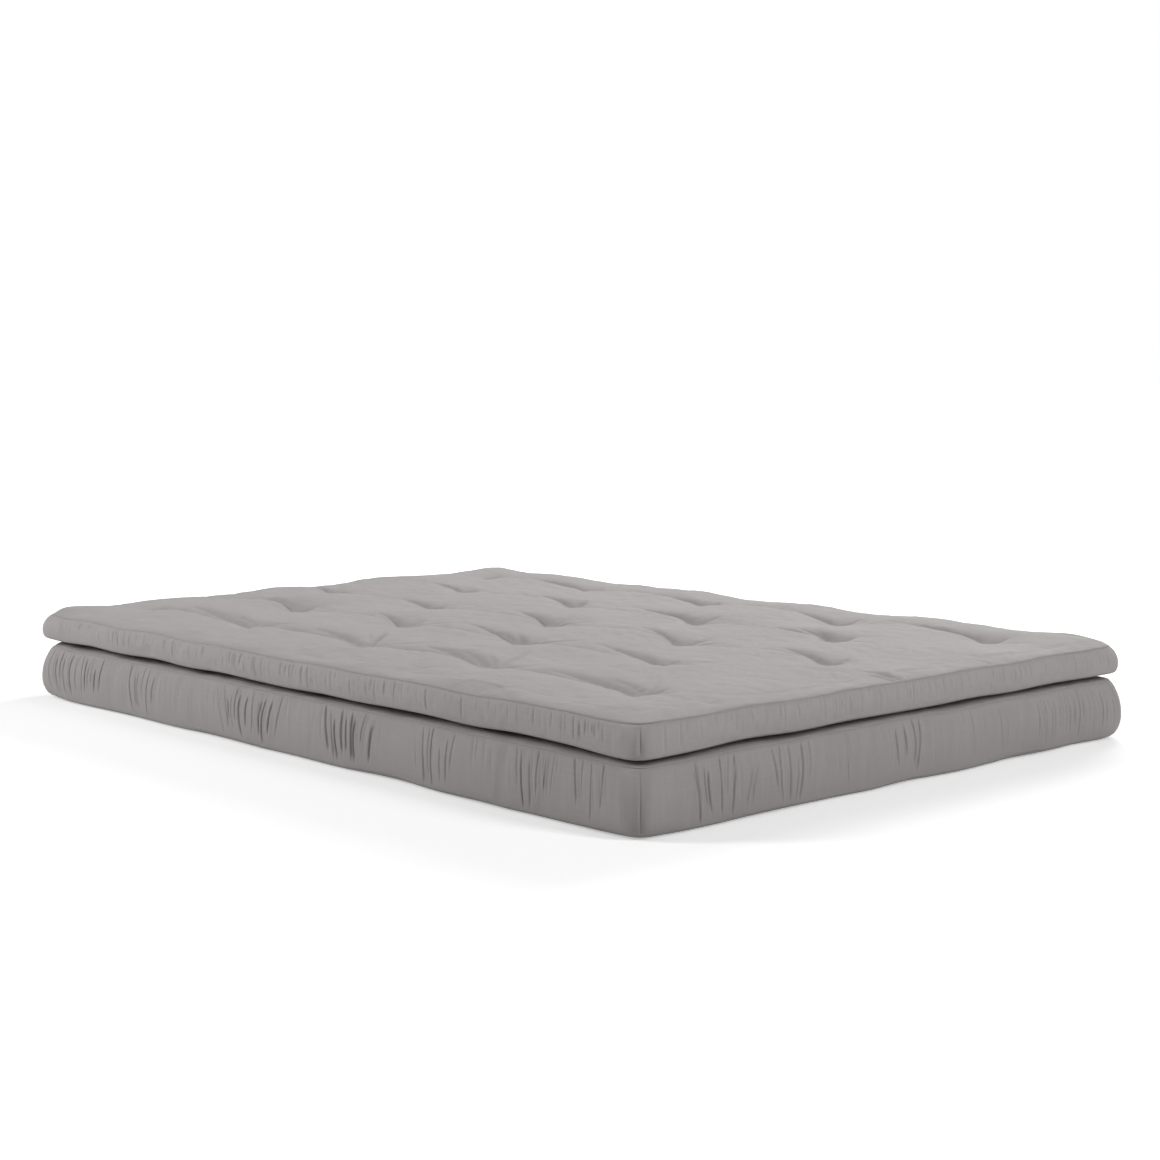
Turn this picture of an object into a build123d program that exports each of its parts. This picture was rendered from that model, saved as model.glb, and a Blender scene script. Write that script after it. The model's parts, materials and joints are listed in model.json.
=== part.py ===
"""Two-layer futon mattress: a thick tufted base mattress with a thinner tufted topper lying loose on it.

Each mattress is a boxed cloth cover (two panels and four side bands), a stack of wadding and foam
layers inside it, and flat cotton ties that pull the two panels together at the tufts.
Millimetres, +Z up, X along the long sides, origin on the floor under the middle of the base.
"""

import os
from dataclasses import dataclass
from math import asin, atan2, cos, hypot, pi, sin

from build123d import *

# Plan of both mattresses
LENGTH = 2000.0
WIDTH = 1400.0
SIDE_DRAW_IN = 4.0  # how far each side is pulled in at its middle
PANEL_CORNER_RADIUS = 14.0  # plan radius at the corners of a panel's flat face

# Cloth and clearance
CLOTH = 1.2
FIT = 0.3  # room between cover and fill, around the ties, and between the two mattresses

# Tufts: full rows of columns, with a staggered row of one fewer between each two
TUFT_EDGE = 200.0  # from the sides to the outer tufts
TUFT_COLUMNS = 5
TUFT_FULL_ROWS = 3
PLEATS = 4  # folds of cloth that gather round each tuft
THROAT_RADIUS = 30.0  # where the steep middle of an upper tuft opens into its shallow rim
THROAT_SHARE = 0.62  # share of an upper tuft's depth that lies inside the throat
UPPER_RIM_RADIUS = 92.0
LOWER_RIM_RADIUS = 64.0
OVERCUT = 1.0  # how far a tuft's cut is carried on past the face that it opens

# Ties: a flat cotton tape with a stitched bar in the upper tuft and a knot in the lower one
TAPE_WIDTH = 5.0
TAPE_THICKNESS = 1.6
BAR_LENGTH = 15.0
BAR_HEIGHT = 2.0
KNOT_RADIUS = 6.0
KNOT_HEIGHT = 4.0

# Curved edges
ROLL_STEPS = 2  # flats in each rounded edge between a band and a panel
SWELL_SHARE = 0.3  # share of a band's height in which it swells out from a seam


@dataclass
class Mattress:
    """One mattress, measured up from its resting face."""

    name: str
    underside: float  # height of the resting face above the floor
    layers: dict  # thickness of each fill layer, from below
    bottom_rise: float  # from the resting face to the lower seam
    top_rise: float  # from the upper seam to the top of the edge roll
    crown: float  # how much higher the middle is than the edge roll
    crown_run: float  # how far in from the edge roll the crown is reached
    roll: float  # width of the rounded edge, in from the seams
    bulge: float  # how far a band swells out past its seams
    top_tuft: float  # depth of the tufts in the upper panel
    bottom_tuft: float  # depth of the tufts in the lower panel

    @property
    def top(self):
        return self.underside + sum(self.layers.values()) + 2 * (CLOTH + FIT)

    @property
    def lower_seam(self):
        return self.underside + self.bottom_rise

    @property
    def upper_seam(self):
        return self.top - self.crown - self.top_rise

    @property
    def band(self):
        return self.upper_seam - self.lower_seam

    @property
    def rim(self):
        """How far in from the outermost line of the bands the panels' flat faces begin."""
        return self.bulge + self.roll


BASE = Mattress(
    name="base",
    underside=0.0,
    layers={"bottom_batt": 33.0, "foam": 60.0, "top_batt": 38.0},
    bottom_rise=19.0,
    top_rise=11.0,
    crown=4.0,
    crown_run=58.0,
    roll=36.0,
    bulge=11.0,
    top_tuft=18.0,
    bottom_tuft=12.0,
)
TOPPER = Mattress(
    name="topper",
    underside=BASE.top + FIT,
    layers={"bottom_batt": 19.0, "foam": 30.0, "top_batt": 18.0},
    bottom_rise=10.0,
    top_rise=9.0,
    crown=4.0,
    crown_run=58.0,
    roll=40.0,
    bulge=5.0,
    top_tuft=16.0,
    bottom_tuft=10.0,
)


def side_points(half_along, half_across, corner, inset):
    """Three points of one drawn-in side: its two ends, where the round corners begin, and its middle.

    corner is the corners' radius on the outermost line, and the side lies inset in from that line.
    """
    centre_x = half_along - corner
    centre_y = corner - half_across
    reach = corner - SIDE_DRAW_IN
    tilt = asin(corner / hypot(centre_x, reach)) - atan2(reach, centre_x)
    radius = corner - inset
    end_x = centre_x - radius * sin(tilt)
    end_y = centre_y - radius * cos(tilt)
    middle_y = SIDE_DRAW_IN - half_across + inset / cos(tilt)
    return (-end_x, end_y), (0, middle_y), (end_x, end_y)


def outline(mattress, inset, height):
    """A level face of the mattress: a rectangle with round corners and drawn-in sides."""
    corner = PANEL_CORNER_RADIUS + mattress.rim
    past_rim = max(0.0, inset - mattress.rim)
    inset -= past_rim
    diagonal = (corner - inset) * cos(pi / 4)
    halves = (LENGTH / 2 - past_rim, WIDTH / 2 - past_rim)
    edges = []
    for turn in range(4):
        half_along, half_across = halves if turn % 2 == 0 else halves[::-1]
        start, middle, end = side_points(half_along, half_across, corner, inset)
        next_start = side_points(half_across, half_along, corner, inset)[0]
        corner_middle = (half_along - corner + diagonal, corner - half_across - diagonal)
        corner_end = (-next_start[1], next_start[0])
        pieces = (Line(start, middle), Line(middle, end), ThreePointArc(end, corner_middle, corner_end))
        edges += [piece.rotate(Axis.Z, 90 * turn) for piece in pieces]
    return Pos(0, 0, height) * Face(Wire(edges))


def levels(mattress, skin):
    """(inset, height) of each level of the mattress, shrunk by skin, from its resting face to its top."""
    wide = mattress.roll - skin
    found = []
    for step in range(ROLL_STEPS):
        angle = pi / 2 * step / ROLL_STEPS
        drop = (mattress.bottom_rise - skin) * cos(angle)
        found.append((mattress.rim - wide * sin(angle), mattress.lower_seam - drop))
    for share, swell in ((0, 0), (SWELL_SHARE, mattress.bulge), (1 - SWELL_SHARE, mattress.bulge), (1, 0)):
        found.append((mattress.bulge + skin - swell, mattress.lower_seam + mattress.band * share))
    for step in range(1, ROLL_STEPS + 1):
        angle = pi / 2 * step / ROLL_STEPS
        rise = (mattress.top_rise - skin) * sin(angle)
        found.append((mattress.rim - wide * cos(angle), mattress.upper_seam + rise))
    found.append((mattress.rim + mattress.crown_run, mattress.top - skin))
    return found


def untufted(mattress, skin):
    """The whole mattress before it is tufted, shrunk by skin on every side."""
    return loft([outline(mattress, *level) for level in levels(mattress, skin)], ruled=True)


def tuft_places():
    """Plan positions of the tufts: full rows, and staggered rows between them."""
    pitch_x = (LENGTH - 2 * TUFT_EDGE) / (TUFT_COLUMNS - 1)
    pitch_y = (WIDTH - 2 * TUFT_EDGE) / (2 * TUFT_FULL_ROWS - 2)
    places = []
    for row in range(2 * TUFT_FULL_ROWS - 1):
        count = TUFT_COLUMNS - row % 2
        y = (row - TUFT_FULL_ROWS + 1) * pitch_y
        places += [((column - (count - 1) / 2) * pitch_x, y) for column in range(count)]
    return places


def pleated(rings):
    """A closed form of flat pleats through level polygons, each given as (radius, height)."""
    turns = [2 * pi * pleat / PLEATS for pleat in range(PLEATS)]
    corners = [[(radius * cos(a), radius * sin(a), height) for a in turns] for radius, height in rings]
    outlines = [corners[0], corners[-1]]
    for low, high in zip(corners, corners[1:]):
        outlines += [[low[k - 1], low[k], high[k], high[k - 1]] for k in range(PLEATS)]
    return Solid(Shell([Face(Wire.make_polygon(points)) for points in outlines]))


def radius_round(length, width):
    """Corner radius of the pleated polygon that clears a length x width rectangle by FIT."""
    return (hypot(length, width) / 2 + FIT) / cos(pi / PLEATS)


def tuft_profile(mattress, up):
    """(radius, depth) along the pleats of an upper tuft (up = 1) or a lower one (up = -1), hole first."""
    hole = radius_round(TAPE_WIDTH, TAPE_THICKNESS)
    if up < 0:
        return [(hole, mattress.bottom_tuft), (LOWER_RIM_RADIUS, 0.0)]
    throat_depth = mattress.top_tuft * (1 - THROAT_SHARE)
    return [(hole, mattress.top_tuft), (THROAT_RADIUS, throat_depth), (UPPER_RIM_RADIUS, 0.0)]


def depth_at(profile, radius):
    """How deep a tuft is where its innermost pleats are this wide."""
    (hole, deep), (wide, shallow) = profile[:2]
    return deep + (shallow - deep) * (radius - hole) / (wide - hole)


def hollows(mattress, skin, up):
    """What the tufts pull out of the upper face (up = 1) or the lower face (up = -1), shrunk by skin."""
    face = mattress.top - skin if up > 0 else mattress.underside + skin
    profile = tuft_profile(mattress, up)
    (inner_radius, inner_depth), (rim_radius, _) = profile[-2:]
    widening = (rim_radius - inner_radius) / inner_depth
    profile[-1] = (rim_radius + OVERCUT * widening, -OVERCUT)
    cut = pleated([(radius, face - up * depth) for radius, depth in profile])
    return [Pos(x, y, 0) * cut for x, y in tuft_places()]


def block(length, width, low, high):
    """A block about the middle of the mattress, between two heights."""
    return Pos(0, 0, (low + high) / 2) * Box(length, width, abs(high - low))


def needle_holes(mattress):
    """The holes that the ties go through, from the upper tufts down to the lower ones."""
    hole = radius_round(TAPE_WIDTH, TAPE_THICKNESS)
    cut = pleated([(hole, mattress.underside), (hole, mattress.top)])
    return [Pos(x, y, 0) * cut for x, y in tuft_places()]


def panel(mattress, up):
    """The upper panel (up = 1) or the lower one (up = -1), from its seam to the holes in its tufts."""
    lower, upper = (mattress.lower_seam, mattress.underside), (mattress.upper_seam, mattress.top)
    seam, face = upper if up > 0 else lower
    middle = (mattress.underside + mattress.top) / 2
    beside_tufts = block(LENGTH, WIDTH, seam, face)
    below_tufts = block(LENGTH - 2 * mattress.rim, WIDTH - 2 * mattress.rim, middle, face)
    outer, inner = [
        (untufted(mattress, skin) & (beside_tufts + below_tufts)) - hollows(mattress, skin, up)
        for skin in (0, CLOTH)
    ]
    return outer - inner - needle_holes(mattress)


def bands(mattress):
    """The four side bands, each between the upright seams in the middles of two corners."""
    ring = untufted(mattress, 0) - untufted(mattress, CLOTH)
    corner = PANEL_CORNER_RADIUS + mattress.rim
    past = 2 * corner  # well outside the corners
    pieces = {}
    for turn, side in enumerate(("front", "right", "back", "left")):
        along, across = (LENGTH, WIDTH) if turn % 2 == 0 else (WIDTH, LENGTH)
        near = (along / 2 - corner, corner - across / 2)
        far = (near[0] + past, near[1] - past)
        plan = make_face(Polyline((-near[0], near[1]), (-far[0], far[1]), far, near, close=True))
        wedge = extrude(Pos(0, 0, mattress.lower_seam) * plan, mattress.band)
        pieces[f"{side}_band"] = ring & wedge.rotate(Axis.Z, 90 * turn)
    return pieces


def fill(mattress):
    """The wadding and foam inside the cover, layer on layer, each with its share of the tufts' hollows."""
    skin = CLOTH + FIT
    whole = untufted(mattress, skin)
    cuts = hollows(mattress, skin, 1) + hollows(mattress, skin, -1) + needle_holes(mattress)
    pieces = {}
    low = mattress.underside + skin
    for layer, thickness in mattress.layers.items():
        pieces[layer] = (whole & block(LENGTH, WIDTH, low, low + thickness)) - cuts
        low += thickness
    return pieces


def ties(mattress):
    """The tape ties, each with a stitched bar that seats in the upper tuft and a knot in the lower one."""
    bar_seat = mattress.top - depth_at(tuft_profile(mattress, 1), radius_round(BAR_LENGTH, TAPE_WIDTH))
    knot_seat = mattress.underside + depth_at(tuft_profile(mattress, -1), KNOT_RADIUS + FIT)
    tape = block(TAPE_WIDTH, TAPE_THICKNESS, knot_seat, bar_seat)
    bar = block(BAR_LENGTH, TAPE_WIDTH, bar_seat, bar_seat + BAR_HEIGHT)
    knot = pleated([(KNOT_RADIUS, knot_seat - KNOT_HEIGHT), (KNOT_RADIUS, knot_seat)])
    tie = tape + bar + knot
    return Compound(children=[Pos(x, y, 0) * tie for x, y in tuft_places()])


def main():
    os.makedirs("parts", exist_ok=True)
    for mattress in (BASE, TOPPER):
        pieces = {"top_panel": panel(mattress, 1), "bottom_panel": panel(mattress, -1)}
        pieces |= bands(mattress) | fill(mattress) | {"tuft_ties": ties(mattress)}
        for piece, shape in pieces.items():
            export_step(shape, f"parts/{mattress.name}_{piece}.step")


main()
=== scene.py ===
"""Two-layer futon mattress in warm grey cotton: a boxed base mattress with a tufted topper lying on it.

Each cover is a grid of points over each panel and a wall of rows round its sides, cut into six sheets at
its seams. Cloth simulation settles the topper's cover over its tufts, and creases, seams and gathers are
pressed into the finer mesh afterwards. Metres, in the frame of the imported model.
"""

import json
import math

import bpy
import numpy as np
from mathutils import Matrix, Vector

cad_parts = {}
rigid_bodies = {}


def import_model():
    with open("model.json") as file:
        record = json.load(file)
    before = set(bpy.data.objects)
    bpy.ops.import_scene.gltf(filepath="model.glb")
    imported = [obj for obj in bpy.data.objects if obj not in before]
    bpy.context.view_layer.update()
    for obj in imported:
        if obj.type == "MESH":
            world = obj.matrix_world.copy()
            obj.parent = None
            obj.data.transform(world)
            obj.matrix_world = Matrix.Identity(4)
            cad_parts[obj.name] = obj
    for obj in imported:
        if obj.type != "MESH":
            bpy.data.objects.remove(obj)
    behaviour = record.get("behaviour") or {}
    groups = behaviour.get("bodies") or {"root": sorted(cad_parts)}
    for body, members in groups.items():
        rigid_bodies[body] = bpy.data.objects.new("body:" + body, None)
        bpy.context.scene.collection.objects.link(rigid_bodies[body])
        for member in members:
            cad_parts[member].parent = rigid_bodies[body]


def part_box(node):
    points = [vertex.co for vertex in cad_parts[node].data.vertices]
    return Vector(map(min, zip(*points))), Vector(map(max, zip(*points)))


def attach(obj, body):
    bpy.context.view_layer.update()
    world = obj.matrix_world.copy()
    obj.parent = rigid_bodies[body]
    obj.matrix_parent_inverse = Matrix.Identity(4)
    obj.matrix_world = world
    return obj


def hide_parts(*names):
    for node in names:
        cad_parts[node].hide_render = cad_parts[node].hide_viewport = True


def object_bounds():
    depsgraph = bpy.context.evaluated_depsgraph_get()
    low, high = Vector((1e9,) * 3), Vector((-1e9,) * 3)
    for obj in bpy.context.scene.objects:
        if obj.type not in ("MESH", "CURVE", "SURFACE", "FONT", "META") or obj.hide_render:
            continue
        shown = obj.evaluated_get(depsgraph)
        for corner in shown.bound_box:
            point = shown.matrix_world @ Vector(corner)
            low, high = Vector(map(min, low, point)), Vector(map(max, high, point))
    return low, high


for item in list(bpy.data.objects):
    bpy.data.objects.remove(item)
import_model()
cad_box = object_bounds()

# Plan, from the frame
SWELL = 0.002  # how far the bands swell past the plain form
HALF_LENGTH = cad_box[1].x + SWELL
HALF_WIDTH = cad_box[1].y + SWELL
CORNER = 0.055  # plan radius of the corners on the outermost line
# Sharpness of the left, front, right and back corners, 2 for a round one
CORNER_POWERS = (2.2, 3.2, 2.2, 2.2)
SIDE_DRAW_IN = 0.002  # how far each side is pulled in at its middle
CORNER_SOFT = 0.026  # how far the round corners of the upper panels reach into their faces
EDGE_RUN = 0.150  # how far in from its seam an upper panel reaches its full height
ROLL_RUN = 0.030  # how far in from its seam the tighter roll at its edge reaches
ROLL_SHARE = 0.26  # share of its height in that roll
DOME_POWER = 0.95  # fullness of the rest, less for a fuller panel
# Height of the upper panels above their seams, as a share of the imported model's
RISE_SHARES = {"base": 0.95, "topper": 1.32}
BAND_POWER = 0.75  # fullness of the swelling of a band, less for a fuller one
UNDER_RUN = 0.022  # how far in from its seam a lower panel lies flat
LOWER_INSET = 0.005  # how far in from the outermost line the lower seams lie
LOWER_RISE = 0.010  # height of the lower seams above the faces that they go round

# Mesh
CELL = 0.008  # size of the cloth's cells while it is simulated
ROW_STEP = 0.005  # distance of the rows round the sides
SEAM_STEP = 0.0016  # distance of the rows beside a seam
SEAM_SINK = 0.0022  # how far the upper seams are drawn in
PROFILE_POINTS = 200  # points of a profile before its rows are spaced
BAND_HALVINGS = 3  # how often the columns of the bands are halved
BAND_FINE = 2**BAND_HALVINGS
TOP_FINE = 2  # columns at the edge of an upper panel for each one of the wall
UNDER_STRIDE = 2  # cells of the plan for each one of a lower panel
TINY = 1e-9  # keeps a divisor above zero
CORNER_X = HALF_LENGTH - CORNER
CORNER_Y = HALF_WIDTH - CORNER
# Cells along the panels: multiples of 4, so that the coarser grids share their points
CELLS_X = 4 * round(CORNER_X / CELL / 2)
CELLS_Y = 4 * round(CORNER_Y / CELL / 2)
SIDE_CELLS = (CELLS_X, CELLS_Y, CELLS_X, CELLS_Y)
SIDE_HALVES = np.array([CORNER_X, CORNER_Y, CORNER_X, CORNER_Y])  # half the straight part of each side
CORNER_ARC = CORNER * math.pi / 4  # half the arc of a corner
FRONT_CORNER = (HALF_LENGTH, -HALF_WIDTH)
WAVE_SPREAD = (0.7, 1.4)  # least and greatest wave of a random field, of its wavelength

# Tufts: three full rows of five, with rows of four between them
TUFT_EDGE = 0.2 + SWELL  # distance of the outer tufts from the outermost line
TUFT_COLUMNS = 5
TUFT_ROWS = 5
TUFT_PITCH_X = 2 * (HALF_LENGTH - TUFT_EDGE) / (TUFT_COLUMNS - 1)
TUFT_PITCH_Y = 2 * (HALF_WIDTH - TUFT_EDGE) / (TUFT_ROWS - 1)
TUFT_FLOOR = 0.009  # radius of the stitched middle of a tuft
TUFT_POWER = 0.9  # sharpness of a tuft's pull, less for a sharper one
TUFT_PULLS = ((0.50, 0.060), (1.0, 0.015))  # share of its depth and reach of its broad and its near pull
UNDER_PULL = 0.024  # reach of its pull on a lower panel
TIE_BAR = 0.002  # height of the stitched bar in an upper tuft
TIE_KNOT = 0.004  # height of the knot in a lower tuft

SIDES = ("front", "right", "back", "left")


def tuft_places():
    """Plan positions of the tufts."""
    places = []
    for row in range(TUFT_ROWS):
        count = TUFT_COLUMNS - row % 2
        y = (row - (TUFT_ROWS - 1) / 2) * TUFT_PITCH_Y
        places += [((column - (count - 1) / 2) * TUFT_PITCH_X, y) for column in range(count)]
    return np.array(places)


TUFTS = tuft_places()


class Mattress:
    """Heights of one mattress, read from its nodes."""

    def __init__(self, name):
        band_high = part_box(f"{name}_front_band")[1]
        panel_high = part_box(f"{name}_top_panel")[1]
        tie_low, tie_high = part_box(f"{name}_tuft_ties")
        self.name = name
        self.body = f"{name}_mattress"
        self.upper_seam = band_high.z
        self.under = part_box(f"{name}_bottom_panel")[0].z
        self.lower_seam = self.under + LOWER_RISE
        self.top = panel_high.z
        self.rise = RISE_SHARES[name] * (self.top - self.upper_seam)
        self.seam_inset = HALF_LENGTH - panel_high.x
        self.top_tuft = self.top - tie_high.z + TIE_BAR
        self.bottom_tuft = tie_low.z + TIE_KNOT - self.under


BASE = Mattress("base")
TOPPER = Mattress("topper")


def smooth(share):
    """A share from 0 to 1 with a soft start and end."""
    share = np.clip(share, 0, 1)
    return share * share * (3 - 2 * share)


def wander(points, wavelength, seed, waves=16):
    """A smooth random field over plan points, with a standard deviation of 1."""
    draw = np.random.default_rng(seed)
    field = np.zeros(points.shape[:-1])
    for _ in range(waves):
        heading = draw.uniform(0, 2 * math.pi)
        turns = 2 * math.pi / (wavelength * draw.uniform(*WAVE_SPREAD))
        along = points[..., 0] * math.cos(heading) + points[..., 1] * math.sin(heading)
        field += np.sin(turns * along + draw.uniform(0, 2 * math.pi))
    return field / math.sqrt(waves / 2)


def away_from(points, place):
    """Distance of points from a place, in plan."""
    return np.hypot(points[..., 0] - place[0], points[..., 1] - place[1])


# Plan and profile


def ring(grid):
    """The boundary of a grid, anticlockwise from its front left corner."""
    return np.concatenate([grid[0, :-1], grid[:-1, -1], grid[-1, :0:-1], grid[:0:-1, 0]])


def side_shares(fine=1):
    """For each column of a wall, its place along its side from -1 to 1, and that side's number."""
    shares, sides = [], []
    for turn, count in enumerate(SIDE_CELLS):
        cells = round(fine * count)
        shares.append(np.linspace(-1, 1, cells + 1)[:-1])
        sides.append(np.full(cells, turn))
    return np.concatenate(shares), np.concatenate(sides)


def loop(radius, fine=1):
    """Plan points of the outline whose corners have this radius, one for each column of a wall."""
    shares, sides = side_shares(fine)
    half, across = SIDE_HALVES[sides], SIDE_HALVES[sides - 1]
    along = shares * (half + radius * math.pi / 4)
    bend = np.maximum(np.abs(along) - half, 0) / max(radius, TINY)
    power = np.array(CORNER_POWERS)[(sides + (along > 0)) % 4]
    reach = radius / (np.sin(bend) ** power + np.cos(bend) ** power) ** (1 / power)
    x = np.sign(along) * (np.minimum(np.abs(along), half) + reach * np.sin(bend))
    y = -across - reach * np.cos(bend)
    turned = np.array([(x, y), (-y, x), (-x, -y), (y, -x)])
    return turned[sides, :, np.arange(len(sides))]


def panel_grid(fine=1):
    """Plan points over the flat middle of a panel."""
    xs = np.linspace(-CORNER_X, CORNER_X, CELLS_X * fine + 1)
    ys = np.linspace(-CORNER_Y, CORNER_Y, CELLS_Y * fine + 1)
    return np.stack(np.meshgrid(xs, ys), axis=-1)


def soften(distance):
    """How much nearer the edge a point counts because another edge is this far off."""
    return CORNER_SOFT * np.log1p(np.exp(-distance / CORNER_SOFT))


def edge_inset(plan):
    """How far each plan point lies in from the outermost line, with softened corners."""
    in_x = CORNER_X - np.abs(plan[..., 0])
    in_y = CORNER_Y - np.abs(plan[..., 1])
    near, far = np.minimum(in_x, in_y), np.maximum(in_x, in_y)
    return CORNER + near - soften(far - near)


def upper_height(mattress, inset):
    """Height of the upper panel where it lies this far in from the outermost line."""
    share = np.clip((inset - mattress.seam_inset) / EDGE_RUN, 0, 1)
    near = np.clip((inset - mattress.seam_inset) / ROLL_RUN, 0, 1)
    dome = (1 - (1 - share) ** 2) ** DOME_POWER
    roll = (1 - (1 - near) ** 2) ** 0.5
    return mattress.upper_seam + mattress.rise * ((1 - ROLL_SHARE) * dome + ROLL_SHARE * roll)


def lower_height(mattress, inset):
    """Height of the lower panel where it lies this far in from the outermost line."""
    share = np.clip((inset - LOWER_INSET) / UNDER_RUN, 0, 1)
    return mattress.lower_seam - (mattress.lower_seam - mattress.under) * (1 - (1 - share) ** 2) ** 0.5


def spaced(curve, seam_first, seam_last):
    """Points of a dense curve at even steps, closer beside a seam at its ends, and their distances."""
    length = np.concatenate([[0], np.cumsum(np.hypot(*np.diff(curve, axis=0).T))])
    low = SEAM_STEP if seam_first else 0
    high = length[-1] - (SEAM_STEP if seam_last else 0)
    marks = np.linspace(low, high, 1 + max(2, round((high - low) / ROW_STEP)))
    marks = np.unique(np.concatenate([[0], marks, [length[-1]]]))
    return np.stack([np.interp(marks, length, curve[:, k]) for k in range(2)], axis=1), marks


def tuft_pull(flat, depth, reach):
    """How far the tufts pull a panel in at each flat point."""
    pull = np.zeros(flat.shape[:-1])
    for place in TUFTS:
        away = np.maximum(away_from(flat, place) - TUFT_FLOOR, 0)
        pull += np.exp(-((away / reach) ** TUFT_POWER))
    return depth * pull


def draw_in(points):
    """Pulls the sides in between the corners."""
    x, y = points[..., 0].copy(), points[..., 1].copy()
    points[..., 0] *= 1 - SIDE_DRAW_IN / HALF_LENGTH * (1 - (y / HALF_WIDTH) ** 2).clip(0)
    points[..., 1] *= 1 - SIDE_DRAW_IN / HALF_WIDTH * (1 - (x / HALF_LENGTH) ** 2).clip(0)


class Cover:
    """The cloth of one mattress as arrays of points: two grids and the wall of rows between them."""

    def __init__(self, mattress):
        self.mattress = mattress
        self.measure_wall()
        plan = panel_grid()
        inset = edge_inset(plan)
        self.top = np.dstack([plan, upper_height(mattress, inset)])
        near = np.minimum(CORNER_X - np.abs(plan[..., 0]), CORNER_Y - np.abs(plan[..., 1]))
        self.bottom = np.dstack([plan, lower_height(mattress, CORNER + near)])
        self.build_wall()
        for points in (self.top, self.bottom, self.wall):
            draw_in(points)

    def measure_wall(self):
        """The rows of the upper roll, the band and the lower roll, from above, and their distances."""
        mattress = self.mattress
        seam = mattress.seam_inset
        turn = np.linspace(0, 1, PROFILE_POINTS)
        roll_inset = seam + (CORNER - seam) * (1 - turn) ** 2
        upper = np.stack([roll_inset, upper_height(mattress, roll_inset)], axis=1)
        swell = np.where(turn < 0.5, seam, LOWER_INSET) * (1 - np.sin(math.pi * turn) ** BAND_POWER)
        band_height = mattress.upper_seam + (mattress.lower_seam - mattress.upper_seam) * turn
        band = np.stack([swell, band_height], axis=1)
        under_inset = LOWER_INSET + (CORNER - LOWER_INSET) * (1 - turn) ** 2
        lower = np.stack([under_inset, lower_height(mattress, under_inset)], axis=1)[::-1]
        upper_rows, self.roll_reach = spaced(upper, False, True)
        band_rows, self.band_reach = spaced(band, True, True)
        lower_rows, self.under_reach = spaced(lower, True, False)
        self.rows = np.concatenate([upper_rows, band_rows[1:], lower_rows[1:]])
        self.seam_row = len(upper_rows) - 1
        self.low_row = self.seam_row + len(band_rows) - 1

    def build_wall(self):
        """The wall's points, with the corners of the rolls softened like the panels'."""
        mattress = self.mattress
        shares, sides = side_shares()
        gap = SIDE_HALVES[sides] * (1 - np.abs(shares))
        self.wall = np.empty((len(self.rows), len(shares), 3))
        for row, (inset, height) in enumerate(self.rows):
            self.wall[row, :, :2] = loop(CORNER - inset)
            self.wall[row, :, 2] = height
            if row < self.seam_row:
                fade = (inset - mattress.seam_inset) / (CORNER - mattress.seam_inset)
                self.wall[row, :, 2] = upper_height(mattress, inset - fade * soften(gap))


# Finer mesh


def halve(points, axis, around):
    """Points with new ones halfway along one axis, on four-point curves through the old ones."""
    points = np.moveaxis(points, axis, 0)
    if around:
        before, after, last = np.roll(points, 1, 0), np.roll(points, -1, 0), np.roll(points, -2, 0)
        middle = (9 * (points + after) - before - last) / 16
        made = np.stack([points, middle], axis=1).reshape(-1, *points.shape[1:])
    else:
        padded = np.concatenate([2 * points[:1] - points[1:2], points, 2 * points[-1:] - points[-2:-1]])
        middle = (9 * (padded[1:-2] + padded[2:-1]) - padded[:-3] - padded[3:]) / 16
        made = np.empty((2 * len(points) - 1, *points.shape[1:]))
        made[::2], made[1::2] = points, middle
    return np.moveaxis(made, 0, axis)


def quads(index):
    """Quads over a two-way table of vertex numbers."""
    corners = (index[:-1, :-1], index[:-1, 1:], index[1:, 1:], index[1:, :-1])
    return np.stack(corners, axis=-1).reshape(-1, 4)


def closed(table):
    """A table of points or their numbers with its first column repeated after its last."""
    return np.concatenate([table, table[:, :1]], axis=1)


def numbered(points, first=0):
    """A table of the vertex numbers of a table of points."""
    rows, columns = points.shape[:2]
    return first + np.arange(rows * columns).reshape(rows, columns)


def stitch(inner, outer):
    """Faces, seen from above, from a closed row out to one with as many points or twice as many."""
    if len(outer) == len(inner):
        return quads(closed(np.stack([inner, outer])))[:, ::-1].tolist()
    inner_next, outer_next = np.roll(inner, -1), np.roll(outer, -2)
    first, middle, last = outer[::2], outer[1::2], outer_next[::2]
    trios = [(inner, first, middle), (inner, middle, inner_next), (inner_next, middle, last)]
    return np.concatenate([np.stack(trio, axis=1) for trio in trios]).tolist()


def make_piece(name, points, faces, uvs, material):
    """A smooth-shaded mesh object with its cloth laid flat in metres."""
    mesh = bpy.data.meshes.new(name)
    mesh.from_pydata(points.tolist(), [], faces)
    mesh.polygons.foreach_set("use_smooth", np.ones(len(mesh.polygons), bool))
    if uvs is not None:
        layer = mesh.uv_layers.new(name="cloth")
        corner = np.empty(len(mesh.loops), int)
        mesh.loops.foreach_get("vertex_index", corner)
        layer.data.foreach_set("uv", uvs[corner].ravel())
    mesh.materials.append(material)
    piece = bpy.data.objects.new(name, mesh)
    bpy.context.scene.collection.objects.link(piece)
    return piece


def read_points(mesh):
    """The points of a mesh as an array."""
    points = np.empty(3 * len(mesh.vertices), np.float32)
    mesh.vertices.foreach_get("co", points)
    return points.reshape(-1, 3)


def push(piece, height):
    """Moves each point of a piece along its normal."""
    mesh = piece.data
    normals = np.empty(3 * len(mesh.vertices), np.float32)
    mesh.vertex_normals.foreach_get("vector", normals)
    moved = read_points(mesh) + normals.reshape(-1, 3) * height[:, None]
    mesh.vertices.foreach_set("co", moved.astype(np.float32).ravel())
    mesh.update()


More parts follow.
